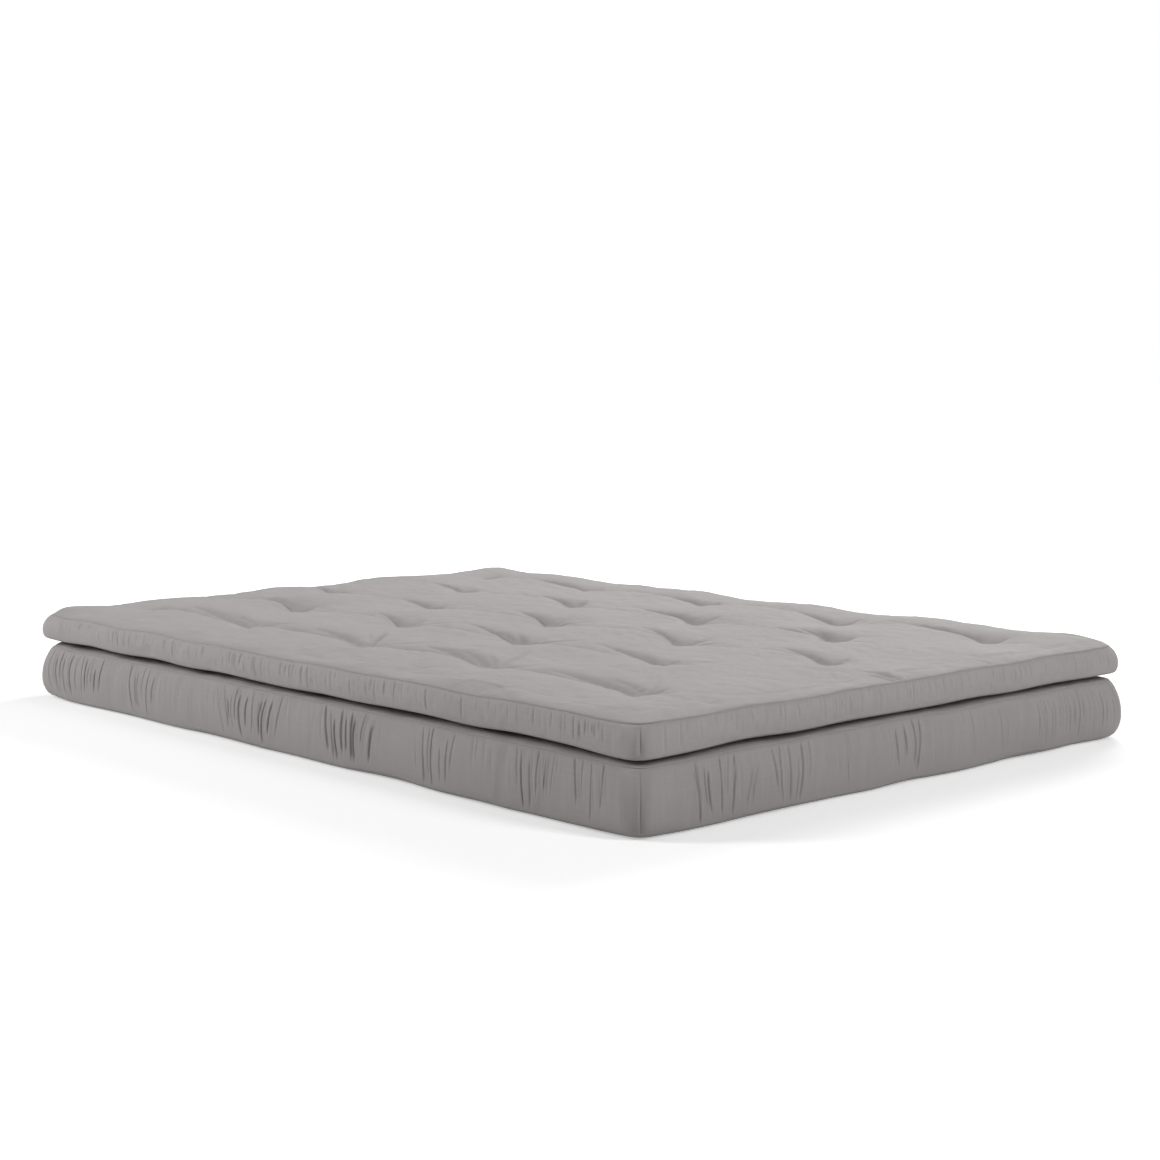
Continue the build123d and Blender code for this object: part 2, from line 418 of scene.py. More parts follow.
def panel_faces(inner, rows, up):
    """Faces of a panel: a table of its grid's points and tables of the rows out to its seam."""
    faces = quads(inner).tolist()
    before = ring(inner)
    for row in rows:
        faces += stitch(before, row)
        before = row
    return faces if up else [face[::-1] for face in faces]


def sew_panel(name, grid, rows, flat, flat_rows, material, up):
    """A panel from its grid of points and the rows outside it, with the flat plan of both."""
    inner = numbered(grid)
    faces = panel_faces(inner, numbered(rows, inner.size), up)
    points = np.concatenate([grid.reshape(-1, 3), rows.reshape(-1, 3)])
    uvs = np.concatenate([flat.reshape(-1, 2), flat_rows.reshape(-1, 2)])
    return make_piece(name, points, faces, uvs, material)


# Folds

# Creases of the topper's upper panel, from the tuft they leave: (tuft, far end, depth)
CREASES = [
    ((-0.4, -0.5), (-0.76, -0.46), 0.013),
    ((0.0, -0.5), (-0.28, -0.45), 0.011),
    ((0.0, -0.5), (-0.15, -0.34), 0.010),
    ((0.4, -0.5), (0.10, -0.45), 0.016),
    ((0.4, -0.5), (0.20, -0.43), 0.011),
    ((0.8, -0.5), (0.48, -0.46), 0.014),
    ((-0.2, -0.25), (-0.36, -0.20), 0.011),
    ((0.2, -0.25), (-0.13, -0.16), 0.016),
    ((0.2, -0.25), (0.02, -0.17), 0.013),
    ((0.6, -0.25), (0.32, -0.18), 0.014),
    ((-0.6, -0.25), (-0.85, -0.22), 0.010),
    ((0.0, 0.0), (-0.22, 0.07), 0.013),
    ((-0.8, 0.0), (-0.97, 0.03), 0.010),
    ((-0.4, 0.0), (-0.62, 0.04), 0.010),
    ((0.4, 0.0), (0.20, 0.06), 0.010),
    ((0.8, 0.0), (0.60, 0.05), 0.011),
    ((0.2, 0.25), (-0.10, 0.33), 0.014),
    ((0.6, 0.25), (0.42, 0.32), 0.016),
    ((0.6, 0.25), (0.36, 0.29), 0.011),
    ((-0.2, 0.25), (-0.40, 0.30), 0.010),
    ((-0.6, 0.25), (-0.80, 0.29), 0.010),
    ((0.8, 0.5), (0.53, 0.53), 0.011),
    ((-0.4, 0.5), (-0.66, 0.52), 0.010),
    ((0.4, 0.5), (0.20, 0.54), 0.009),
    ((0.0, 0.5), (-0.20, 0.53), 0.009),
]
CREASE_WIDTH = 0.009  # how far the slopes beside a crease reach
CREASE_REACH = 6  # distance from a crease at which they have run out, in its widths
CREASE_TIP = 0.7  # share of a crease over which it fades towards its end
CREASE_LEAD = 0.05  # how far before its tuft a crease starts, of its length
CREASE_RISE = 0.15  # over how much of its length it gets its depth
CREASE_BOW = 0.06  # how far it bows aside, of its length
LINE_DEPTH = 0.5  # depth of the sharp line at the bottom of a crease, of the crease's
LINE_WIDTH = 0.35 * CREASE_WIDTH
FINE_WIDTH = 0.5 * CREASE_WIDTH
ROW_LINKS = (0.012, 0.004, 0.004, 0.003, 0.003)  # depth of the valley along each row of tufts, front first
LINK_WIDTH = 0.018  # how far the slopes beside these valleys reach
LINK_TIP = 0.3
# Short creases on the other sides of a tuft
LIP_HEADINGS = ((-0.1, 0.5), (-1.3, -0.4), (1.0, 2.0))  # range of each one's direction, in radians
LIP_LENGTH = 0.09
LIP_DEPTH = 0.007
LIP_SPREAD = (0.6, 1.1)  # range of their lengths and depths, as shares
LIP_WIDTH = 0.7 * CREASE_WIDTH
LIP_SEED = 5
# Where the corners of the topper stand up, being far from the tufts: (x, y, height)
CORNER_PUFFS = ((-0.93, -0.62, 0.007), (0.93, -0.62, 0.006), (0.92, 0.62, 0.002), (-0.95, 0.65, 0.005))
CORNER_PUFF_REACH = 0.08  # how far from these places
CORNER_REACH = 0.07  # how far from a corner its bands are drawn in
UPPER_DRAW = (0.015, 0.0, 0.010, 0.006)  # how far at the upper seams, for each corner from the left one
LOWER_DRAW = {"base": 0.012, "topper": -0.002}  # how far at the lower edge
HEM_LIFT = 0.003  # height of the waves in the base's lower edge
CORNER_DROOP = 0.007  # how far the topper's lower edge hangs down at the front corner
DROOP_REACH = 0.14  # how far from that corner
MOST_SUNK = 0.022  # the most that tufts and creases together sink an upper panel

# Finer creases of the same panel: (start, far end, depth)
FINE_CREASES = [
    ((0.19, -0.240), (0.07, -0.170), 0.006),
    ((0.17, -0.228), (0.06, -0.160), 0.005),
    ((0.15, -0.215), (0.05, -0.150), 0.004),
    ((0.57, 0.268), (0.43, 0.335), 0.006),
    ((0.54, 0.266), (0.42, 0.320), 0.004),
    ((0.40, -0.500), (0.27, -0.300), 0.007),
    ((0.40, -0.500), (0.47, -0.400), 0.005),
    ((0.38, -0.480), (0.28, -0.420), 0.005),
    ((0.00, -0.500), (0.14, -0.330), 0.005),
    ((-0.02, -0.480), (-0.14, -0.400), 0.005),
    ((0.60, -0.250), (0.70, -0.130), 0.005),
    ((0.56, -0.235), (0.45, -0.180), 0.005),
    ((0.80, -0.500), (0.72, -0.380), 0.005),
    ((0.78, -0.480), (0.62, -0.440), 0.005),
    ((0.00, 0.000), (0.08, 0.120), 0.004),
    ((-0.40, -0.500), (-0.30, -0.380), 0.005),
    ((-0.42, -0.480), (-0.60, -0.440), 0.005),
    ((0.20, -0.250), (0.32, -0.130), 0.005),
    ((-0.20, -0.250), (-0.08, -0.130), 0.005),
    ((0.40, 0.000), (0.52, 0.110), 0.004),
    ((1.00, -0.015), (0.91, -0.060), 0.007),
    ((1.00, -0.035), (0.93, -0.075), 0.005),
    ((1.00, 0.250), (0.95, 0.235), 0.004),
    ((1.00, 0.480), (0.95, 0.470), 0.004),
]

# Gathers in the bands where they show: (first place, last place, depth, lean) along each side
BASE_GATHERS = {
    "front": [
        (-0.922, -0.711, 0.0070, 0.020),
        (-0.588, -0.497, 0.0050, 0.015),
        (-0.230, -0.033, 0.0070, 0.030),
        (0.135, 0.287, 0.0080, 0.020),
        (0.416, 0.522, 0.0040, 0.010),
        (0.699, 0.784, 0.0050, 0.010),
        (0.846, 0.907, 0.0040, 0.010),
    ],
    "right": [
        (-0.577, -0.414, 0.0070, 0.030),
        (-0.376, -0.286, 0.0055, 0.015),
        (-0.181, -0.162, 0.0045, 0.010),
        (-0.038, 0.026, 0.0070, 0.015),
        (0.174, 0.196, 0.0045, 0.010),
        (0.279, 0.324, 0.0045, 0.010),
        (0.387, 0.658, 0.0035, 0.000),
    ],
}
TOPPER_GATHERS = {
    "front": [
        (-0.790, -0.768, 0.0020, 0.004),
        (-0.638, -0.575, 0.0020, 0.004),
        (-0.186, -0.132, 0.0020, 0.004),
        (0.025, 0.058, 0.0018, 0.004),
        (0.328, 0.358, 0.0018, 0.004),
        (0.809, 0.907, 0.0022, 0.004),
    ],
    "right": [
        (-0.221, -0.180, 0.0022, 0.004),
        (-0.040, -0.011, 0.0030, 0.004),
        (0.231, 0.360, 0.0018, 0.004),
    ],
}
GATHER_STEP = 0.015  # distance between the folds of a gather
CORNER_SEAM_SINK = 0.0018  # how far the upright seams are drawn in
CORNER_SEAM_WIDTH = 0.002  # how far from these seams
SEAM_FADE = 0.008  # how far from a seam folds reach their depth
FOLD_SHIFT = 0.7  # most that a fold of a gather strays, of half the distance between folds
FOLD_STARTS = (-0.25, 0.15)  # range of the upper ends of its folds about the gather's, of the band's height
FOLD_ENDS = (-0.25, 0.2)  # the same for their lower ends
FOLD_WIDTHS = (0.0012, 0.0024)
FOLD_DEPTHS = (0.4, 1.1)  # as shares of the gather's
FOLD_BOW = 0.4  # most that a fold bows aside, of the gather's lean
PLEAT_REACH = 8  # distance from a fold at which it has run out, in its widths
PLEAT_FADE = 0.25  # share of the band's height over which it fades at its ends
RIDGE_PLACE = 2.6  # distance of the ridges beside a fold, in its widths
RIDGE_WIDTH = 1.6
RIDGE_HEIGHT = 0.3  # as a share of the fold's depth
LOW_RIDGE = 0.5  # height of the ridge on one side, as a share of the other
RIPPLE_WAVES = 40
RIPPLE_LEAN = 0.02  # how far ripples lean over the height of a band
RIPPLE_CHANGE = 0.25  # how much they change over it, in wavelengths
RIPPLE_FADE = 0.5  # how much of them is lost towards the lower edge
LINE_MARGIN = 0.05  # distance of the fine upright lines from the ends of a band
# Gathers on the sides that aren't seen: ranges of their widths, distances, depths and leans
HIDDEN_WIDTHS = (0.04, 0.2)
HIDDEN_STEPS = (0.08, 0.2)
HIDDEN_DEPTHS = (0.002, 0.005)
HIDDEN_LEANS = (0, 0.03)
HIDDEN_START = 0.08  # distance of the first gather from the end of its band
HIDDEN_LAST = 0.15  # least distance from the other end at which one starts
HIDDEN_END = 0.05  # least distance from it at which one stops
# The folds of each mattress's bands: ripples (wavelength, height, seed), gathers and fine upright lines.
# Spans, starts and ends are shares of the band's height.
BAND_FOLDS = {
    "base": {
        "seed": 20,
        "ripples": ((0.075, 0.0013, 60), (0.030, 0.0004, 70)),
        "gathers": BASE_GATHERS,
        "depth_share": 1,
        "most_depth": math.inf,
        "gather_span": (0.05, 0.9),
        "line_step": 0.022,
        "line_shifts": (-0.009, 0.009),
        "line_starts": (-0.2, 0.1),
        "line_ends": (0.4, 0.9),
        "line_depths": (0.0003, 0.0016),
        "line_width": 0.003,
        "line_lean": 0.006,
    },
    "topper": {
        "seed": 30,
        "ripples": ((0.060, 0.0008, 80), (0.028, 0.0003, 90)),
        "gathers": TOPPER_GATHERS,
        "depth_share": 1.8,
        "most_depth": 0.0045,
        "gather_span": (0.0, 0.8),
        "line_step": 0.017,
        "line_shifts": (-0.007, 0.007),
        "line_starts": (-0.25, 0.0),
        "line_ends": (0.4, 1.1),
        "line_depths": (0.0004, 0.0030),
        "line_width": 0.0024,
        "line_lean": 0.003,
    },
}


def press_crease(height, flat, start, end, depth, width, tip=CREASE_TIP):
    """Presses a valley with a sharp bottom along a line from start to end, fading towards its end."""
    start, end = np.array(start, float), np.array(end, float)
    run = end - start
    length = np.hypot(*run)
    ahead = run / length
    aside = np.array([-ahead[1], ahead[0]])
    near = away_from(flat, (start + end) / 2) < length / 2 + CREASE_REACH * width
    offset = flat[near] - start
    along = offset @ ahead / length
    bow = CREASE_BOW * length * np.sin(math.pi * np.clip(along, 0, 1))
    across = np.abs(offset @ aside + bow) / width
    fade = smooth((along + CREASE_LEAD) / CREASE_RISE) * smooth((1 - along) / tip)
    height[near] += depth * fade * np.exp(-across)


def press_pleat(height, along, down, place, width, depth, lean, bow, span):
    """Presses a sharp upright fold into a band at a place along it, between two shares of its height."""
    near = np.abs(along[0] - place) < PLEAT_REACH * width + abs(lean) + abs(bow)
    along, down = along[:, near], down[:, near]
    fade = smooth((down - span[0]) / PLEAT_FADE) * smooth((span[1] - down) / PLEAT_FADE)
    from_middle = down - 0.5
    across = (along - place - lean * from_middle - bow * (1 - 4 * from_middle**2)) / width
    ridge = np.exp(-(((across - RIDGE_PLACE) / RIDGE_WIDTH) ** 2))
    ridge += LOW_RIDGE * np.exp(-(((across + RIDGE_PLACE) / RIDGE_WIDTH) ** 2))
    valley = -depth * fade * np.exp(-np.abs(across))
    height[:, near] = np.minimum(height[:, near], valley) + RIDGE_HEIGHT * depth * fade * ridge


def topper_creases(flat):
    """How far the creases, and the valleys and lips beside the tufts, sink the topper's upper panel."""
    height = np.zeros(flat.shape[:-1])
    draw = np.random.default_rng(LIP_SEED)
    for start, end, depth in CREASES:
        press_crease(height, flat, start, end, depth, CREASE_WIDTH)
        press_crease(height, flat, start, end, LINE_DEPTH * depth, LINE_WIDTH)
    for start, end, depth in FINE_CREASES:
        press_crease(height, flat, start, end, depth, FINE_WIDTH)
    for place in TUFTS:
        neighbour = place - (TUFT_PITCH_X, 0)
        row = round(place[1] / TUFT_PITCH_Y + (TUFT_ROWS - 1) / 2)
        if neighbour[0] > -HALF_LENGTH:
            press_crease(height, flat, place, neighbour, ROW_LINKS[row], LINK_WIDTH, LINK_TIP)
        for heading in [draw.uniform(*span) for span in LIP_HEADINGS]:
            reach = LIP_LENGTH * draw.uniform(*LIP_SPREAD)
            end = place + reach * np.array([math.cos(heading), math.sin(heading)])
            press_crease(height, flat, place, end, LIP_DEPTH * draw.uniform(*LIP_SPREAD), LIP_WIDTH)
    return height


def gather(height, along, down, first, last, depth, lean, span, draw):
    """Presses a row of folds into a band, fanned so that they close towards its lower edge."""
    count = max(1, round((last - first) / GATHER_STEP))
    for turn in np.linspace(-1, 1, count) + draw.uniform(-FOLD_SHIFT, FOLD_SHIFT, count) / count:
        place = (first + last + turn * (last - first)) / 2
        ends = (span[0] + draw.uniform(*FOLD_STARTS), span[1] + draw.uniform(*FOLD_ENDS))
        width = draw.uniform(*FOLD_WIDTHS)
        bow = draw.uniform(-FOLD_BOW, FOLD_BOW) * lean
        fold_depth = depth * draw.uniform(*FOLD_DEPTHS)
        press_pleat(height, along, down, place, width, fold_depth, -turn * lean, bow, ends)


def ripple(height, along, down, wavelength, amount, seed):
    """Soft upright ripples in a band, leaning a little and fading towards its lower edge."""
    flat = np.stack([along + RIPPLE_LEAN * down, RIPPLE_CHANGE * wavelength * down], axis=-1)
    height += amount * wander(flat, wavelength, seed, RIPPLE_WAVES) * (1 - RIPPLE_FADE * down)


def random_gathers(along, draw):
    """Gathers for a side that isn't seen, like those of the sides that are."""
    half = along.max()
    made, place = [], -half + HIDDEN_START
    while place < half - HIDDEN_LAST:
        wide = draw.uniform(*HIDDEN_WIDTHS)
        last = min(place + wide, half - HIDDEN_END)
        made.append((place, last, draw.uniform(*HIDDEN_DEPTHS), draw.uniform(*HIDDEN_LEANS)))
        place += wide + draw.uniform(*HIDDEN_STEPS)
    return made


def press_folds(height, mattress, side, along, down):
    """Presses ripples, gathers and fine upright lines into one band of a mattress."""
    form = BAND_FOLDS[mattress.name]
    number = SIDES.index(side)
    draw = np.random.default_rng(form["seed"] + number)
    for wavelength, amount, seed in form["ripples"]:
        ripple(height, along, down, wavelength, amount, seed + number)
    for first, last, depth, lean in form["gathers"].get(side) or random_gathers(along, draw):
        depth = min(form["depth_share"] * depth, form["most_depth"])
        gather(height, along, down, first, last, depth, lean, form["gather_span"], draw)
    for place in np.arange(along.min() + LINE_MARGIN, along.max() - LINE_MARGIN, form["line_step"]):
        place += draw.uniform(*form["line_shifts"])
        span = (draw.uniform(*form["line_starts"]), draw.uniform(*form["line_ends"]))
        depth = draw.uniform(*form["line_depths"])
        press_pleat(height, along, down, place, form["line_width"], depth, form["line_lean"], 0, span)


# Cloth simulation

SIM_FRAMES = 16
SIM_QUALITY = 3
SIM_SLACK = 0.002  # share by which the cloth is cut larger than the plain form
SIM_PRESSURE = 0.2
SIM_CAP = 0.016  # the most that a point may move
HOLD_FIRM = 1.0
HOLD_FACE = 0.12
HOLD_MARGIN = 0.3 * CELL  # how far round the middle of a tuft the cloth is held
FIRM_CORNER = 0.09  # reach of the sharp front corner, where the cloth stays as it is cut


def held_points(cover, plan):
    """How firmly each point of the cloth is held in place: at the tufts and seams, and barely elsewhere."""
    hold = np.full(plan.shape[:-1], HOLD_FACE)
    for place in TUFTS:
        hold[away_from(plan, place) < TUFT_FLOOR + HOLD_MARGIN] = HOLD_FIRM
    wall = cover.wall[1 : cover.low_row + 1]
    rows = np.full(wall.shape[:2], HOLD_FACE)
    rows[[cover.seam_row - 1, -1]] = HOLD_FIRM
    rows[away_from(wall, FRONT_CORNER) < FIRM_CORNER] = HOLD_FIRM
    return np.concatenate([hold.ravel(), rows.ravel()])


def settle(cover, plain_top, material):
    """Blows the upper panel and bands up softly from inside and keeps the form that they settle in."""
    rows = cover.wall[1 : cover.low_row + 1]
    inner = numbered(plain_top)
    faces = panel_faces(inner, numbered(rows, inner.size), True)
    start = np.concatenate([cover.top.reshape(-1, 3), rows.reshape(-1, 3)])
    plain = np.concatenate([plain_top.reshape(-1, 3), rows.reshape(-1, 3)])
    piece = make_piece("settling", start, faces, None, material)
    piece.shape_key_add(name="start")
    piece.shape_key_add(name="plain").data.foreach_set("co", plain.astype(np.float32).ravel())
    group = piece.vertex_groups.new(name="held")
    hold = held_points(cover, panel_grid())
    for weight in np.unique(hold):
        group.add(np.flatnonzero(hold == weight).tolist(), float(weight), "REPLACE")
    cloth = piece.modifiers.new("cloth", "CLOTH")
    settings = cloth.settings
    settings.quality = SIM_QUALITY
    settings.mass = 0.1
    settings.tension_stiffness = 12
    settings.compression_stiffness = 6
    settings.shear_stiffness = 4
    settings.bending_stiffness = 0.08
    settings.air_damping = 4
    settings.shrink_min = -SIM_SLACK
    settings.use_pressure = True
    settings.uniform_pressure_force = SIM_PRESSURE
    settings.vertex_group_mass = "held"
    settings.rest_shape_key = piece.data.shape_keys.key_blocks["plain"]
    settings.effector_weights.gravity = 0
    cloth.collision_settings.use_collision = False
    cloth.point_cache.frame_end = SIM_FRAMES
    for step in range(1, SIM_FRAMES + 1):
        bpy.context.scene.frame_set(step)
    shaped = piece.evaluated_get(bpy.context.evaluated_depsgraph_get())
    moved = read_points(shaped.data) - start
    far = np.linalg.norm(moved, axis=1)
    moved *= np.minimum(1, SIM_CAP / np.maximum(far, TINY))[:, None]
    settled = start + moved
    cover.top = settled[: inner.size].reshape(cover.top.shape)
    cover.wall[1 : cover.low_row + 1] = settled[inner.size :].reshape(rows.shape)
    cover.wall[0] = ring(cover.top)
    bpy.data.objects.remove(piece)
    bpy.context.scene.frame_set(1)


# Pieces of a cover


def own(piece, mattress, slot, *nodes):
    """Makes a piece ride on its mattress in place of its nodes."""
    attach(piece, mattress.body)
    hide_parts(*[f"{mattress.name}_{node}" for node in nodes])


def top_piece(cover, fine, material):
    """The upper panel of a cover, its grid made as fine as that and its creases pressed in."""
    mattress = cover.mattress
    grid = cover.top
    for axis in (0, 1) if fine == 2 else ():
        grid = halve(grid, axis, False)
    rows = halve(cover.wall, 1, True)[1 : cover.seam_row + 1]
    reach = cover.roll_reach[1:]
    flat, flat_rows = panel_grid(fine), np.stack([loop(distance, TOP_FINE) for distance in reach])
    piece = sew_panel(f"{mattress.name}_top_cloth", grid, rows, flat, flat_rows, material, True)
    height = panel_lines(mattress, np.concatenate([flat.reshape(-1, 2), flat_rows.reshape(-1, 2)]))
    fade = np.repeat(smooth((reach[-1] - reach) / SEAM_FADE), flat_rows.shape[1])
    height[-fade.size :] *= fade
    push(piece, height)
    own(piece, mattress, f"{mattress.name}_cover", "top_panel")
    return piece


def bottom_piece(cover, material):
    """The lower panel of a cover."""
    mattress = cover.mattress
    rows = cover.wall[cover.low_row : -1][::-1]
    reach = (cover.under_reach[-1] - cover.under_reach)[:-1][::-1]
    flat_rows = np.stack([loop(distance) for distance in reach])
    flat, grid = [points[::UNDER_STRIDE, ::UNDER_STRIDE] for points in (panel_grid(), cover.bottom)]
    piece = sew_panel(f"{mattress.name}_bottom_cloth", grid, rows, flat, flat_rows, material, False)
    own(piece, mattress, f"{mattress.name}_cover", "bottom_panel")
    return piece


def straighten(row, stride):
    """A closed row with its points on the straight lines between every stride-th one of them."""
    first = row[::stride]
    shares = np.arange(stride)[:, None] / stride
    return (first[:, None] * (1 - shares) + np.roll(first, -1, 0)[:, None] * shares).reshape(row.shape)


def band_pieces(cover, material):
    """The four side bands of a cover, between the upright seams in its corners."""
    mattress = cover.mattress
    wall = cover.wall
    for _ in range(BAND_HALVINGS):
        wall = halve(wall, 1, True)
    wall = wall[cover.seam_row : cover.low_row + 1]
    reach = cover.band_reach
    shares, sides = side_shares(BAND_FINE)
    gap = (SIDE_HALVES[sides] + CORNER_ARC) * (1 - np.abs(shares))
    ends = smooth(reach / SEAM_FADE) * smooth((reach[-1] - reach) / SEAM_FADE)
    sink = CORNER_SEAM_SINK * ends[:, None] * np.exp(-gap / CORNER_SEAM_WIDTH)
    wall[..., :2] -= sink[..., None] * np.sign(wall[..., :2]) / math.sqrt(2)
    wall[0] = straighten(wall[0], BAND_FINE // TOP_FINE)
    wall[-1] = straighten(wall[-1], BAND_FINE)
    wall = closed(wall)
    first = 0
    for side, count, straight in zip(SIDES, SIDE_CELLS, SIDE_HALVES):
        cells = BAND_FINE * count
        half = straight + CORNER_ARC
        points = wall[:, first : first + cells + 1]
        first += cells
        along, down = np.meshgrid(np.linspace(-half, half, cells + 1), reach)
        faces = quads(numbered(points))[:, ::-1].tolist()
        uvs = np.stack([along.ravel(), -down.ravel()], axis=1)
        piece = make_piece(f"{mattress.name}_{side}_cloth", points.reshape(-1, 3), faces, uvs, material)
        height = np.zeros(along.shape)
        press_folds(height, mattress, side, along, down / reach[-1])
        height *= ends[:, None] * smooth((half - np.abs(along)) / SEAM_FADE)
        push(piece, height.ravel())
        own(piece, mattress, f"{mattress.name}_cover", f"{side}_band")


# Fill and ties

FILL_SKIN = 0.018  # room between the fill and the cover's wall
FILL_GAP = 0.003  # room between the fill and the cover's panels
LAYER_GAP = 0.0003  # room between the layers of the fill
LEAST_FILL = 0.0005  # thickness of the wadding in the deepest tufts
FILL_STRIDE = 2  # cells of the plan for each one of the fill
LOW_FILL_STRIDE = 4  # the same for the lower wadding
WADDING_ROWS = np.array([0.1, 0.3, 0.6, 1.0])  # heights of the rows round a layer of wadding, as shares
FOAM_ROWS = 5


def lowest_near(grid, span):
    """For each point of a grid of heights, the lowest height within span cells of it."""
    for axis in (0, 1):
        edges = [(span, span) if k == axis else (0, 0) for k in (0, 1)]
        wide = np.pad(grid, edges, mode="edge")
        count = grid.shape[axis]
        slices = [np.take(wide, range(k, k + count), axis) for k in range(2 * span + 1)]
        grid = np.min(slices, axis=0)
    return grid


def inner_profile(cover):
    """(inset, height) just inside a cover's wall, from above."""
    ahead = np.gradient(cover.rows, axis=0)
    ahead /= np.hypot(*ahead.T)[:, None]
    return cover.rows + FILL_SKIN * np.stack([-ahead[:, 1], ahead[:, 0]], axis=1)


def fill_layer(cover, layer, upper, lower, levels, stride, material):
    """A closed layer of fill between two grids of heights, with rows round it at levels from above."""
    mattress = cover.mattress
    profile = inner_profile(cover)[::-1]
    plan = panel_grid()[::stride, ::stride]
    grids = [np.dstack([plan, heights]) for heights in (upper, lower)]
    insets = np.interp(levels, profile[:, 1], profile[:, 0])
    outlines = np.stack([loop(CORNER - inset, 1 / stride) for inset in insets])
    rows = np.dstack([outlines, np.repeat(levels[:, None], outlines.shape[1], axis=1)])
    for points in (*grids, rows):
        draw_in(points)
    top_table = numbered(plan)
    row_tables = numbered(rows, top_table.size)
    low_table = numbered(plan, top_table.size + row_tables.size)
    faces = panel_faces(top_table, row_tables, True)
    faces += stitch(row_tables[-1], ring(low_table)) + quads(low_table)[:, ::-1].tolist()
    points = np.concatenate([part.reshape(-1, 3) for part in (grids[0], rows, grids[1])])
    piece = make_piece(f"{mattress.name}_{layer}_fill", points, faces, None, material)
    own(piece, mattress, "foam" if layer == "foam" else "cotton_batt", layer)


def fill_pieces(cover, top, bottom, wadding, foam):
    """Wadding above and below a foam core. top and bottom are the heights of the finished panels."""
    foam_low, foam_high = [corner.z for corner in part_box(f"{cover.mattress.name}_foam")]
    over, under = inner_profile(cover)[[0, -1], 1]
    step = FILL_STRIDE * (top.shape[1] - 1) // CELLS_X
    upper = (lowest_near(top, step) - FILL_GAP)[::step, ::step]
    pressed = np.minimum(foam_high, upper - LEAST_FILL)
    levels = over + (foam_high + LAYER_GAP - over) * WADDING_ROWS
    fill_layer(cover, "top_batt", upper, pressed + LAYER_GAP, levels, FILL_STRIDE, wadding)
    step = LOW_FILL_STRIDE
    lower = (-lowest_near(-bottom, step) + FILL_GAP)[::step, ::step]
    ceiling = np.full(lower.shape, foam_low - LAYER_GAP)
    levels = foam_low - LAYER_GAP + (under - foam_low + LAYER_GAP) * (1 - WADDING_ROWS[::-1])
    fill_layer(cover, "bottom_batt", ceiling, lower, levels, step, wadding)
    levels = np.linspace(foam_high, foam_low, FOAM_ROWS)
    fill_layer(cover, "foam", pressed, np.full(pressed.shape, foam_low), levels, FILL_STRIDE, foam)


STEEP = 0.9  # upward share of the direction of a tube that stands
LYING_AID = (0.02, 0.03, 1)  # direction that the section of a lying tube is turned by
STANDING_AID = (0, 1, 0.02)  # the same for one that stands


def tube(path, radii, sides):
    """Points and faces of a closed tube along a path, with a sideways and an upright radius."""
    ahead = np.gradient(path, axis=0)
    ahead /= np.linalg.norm(ahead, axis=1)[:, None]
    level = np.cross(ahead, STANDING_AID if abs(ahead[0, 2]) > STEEP else LYING_AID)
    level /= np.linalg.norm(level, axis=1)[:, None]
    upright = np.cross(level, ahead)
    turns = np.linspace(0, 2 * math.pi, sides, endpoint=False)
    across = level[:, None] * (radii[0] * np.cos(turns))[:, None]
    up = upright[:, None] * (radii[1] * np.sin(turns))[:, None]
    points = path[:, None] + across + up
    table = numbered(points)
    faces = quads(closed(table)).tolist()
    faces += [table[0, ::-1].tolist(), table[-1].tolist()]
    return points.reshape(-1, 3), faces


STRANDS = 4  # threads side by side in a stitched bar
STRAND_RADIUS = 0.0007
STRAND_PACK = 0.92  # distance of the threads, of their thickness
STRAND_ARCH = 0.0009  # how high the threads arch
STRAND_TUCK = 0.0012  # how far down their ends go
STRAND_POINTS = 9
BAR_HALF = 0.0075  # half the length of a stitched bar
TAPE_RADII = (0.0025, 0.0008)
TAPE_END = 0.0004  # how far past the panels' cloth a tape ends
TAPE_POINTS = 7
KNOT_RADIUS = 0.0044  # radius of the first turn of a knot, at the middle of its cord
KNOT_CLOSE = 0.0012  # how far its turns close in
KNOT_TOP = -0.0012  # height of its first turn from the lower panel
KNOT_FALL = 0.0013  # how far its turns go down
KNOT_CORD = 0.0013  # radius of its cord
KNOT_TURNS = 2
KNOT_POINTS = 33
ROUND_SIDES = 7  # of threads and cords
FLAT_SIDES = 8  # of tapes


def tie_parts(place, high, low):
    """Tubes of one tie: a bar of threads in the upper tuft, the tape, and a knot in the lower tuft."""
    parts = []
    bend = np.linspace(-1, 1, STRAND_POINTS)
    for strand in range(STRANDS):
        side = (strand - (STRANDS - 1) / 2) * 2 * STRAND_RADIUS * STRAND_PACK
        rise = STRAND_RADIUS + STRAND_ARCH * (1 - bend**4)
        path = np.stack([BAR_HALF * bend, side + 0 * bend, rise - STRAND_TUCK * bend**8], axis=1)
        parts.append(tube(path + (*place, high), (STRAND_RADIUS, STRAND_RADIUS), ROUND_SIDES))
    path = np.linspace((*place, high + TAPE_END), (*place, low - TAPE_END), TAPE_POINTS)
    parts.append(tube(path, TAPE_RADII, FLAT_SIDES))
    share = np.linspace(0, 1, KNOT_POINTS)
    turn = 2 * math.pi * KNOT_TURNS * share
    coil = KNOT_RADIUS - KNOT_CLOSE * share
    path = np.stack([coil * np.cos(turn), coil * np.sin(turn), KNOT_TOP - KNOT_FALL * share], axis=1)
    parts.append(tube(path + (*place, low), (KNOT_CORD, KNOT_CORD), ROUND_SIDES))
    return parts


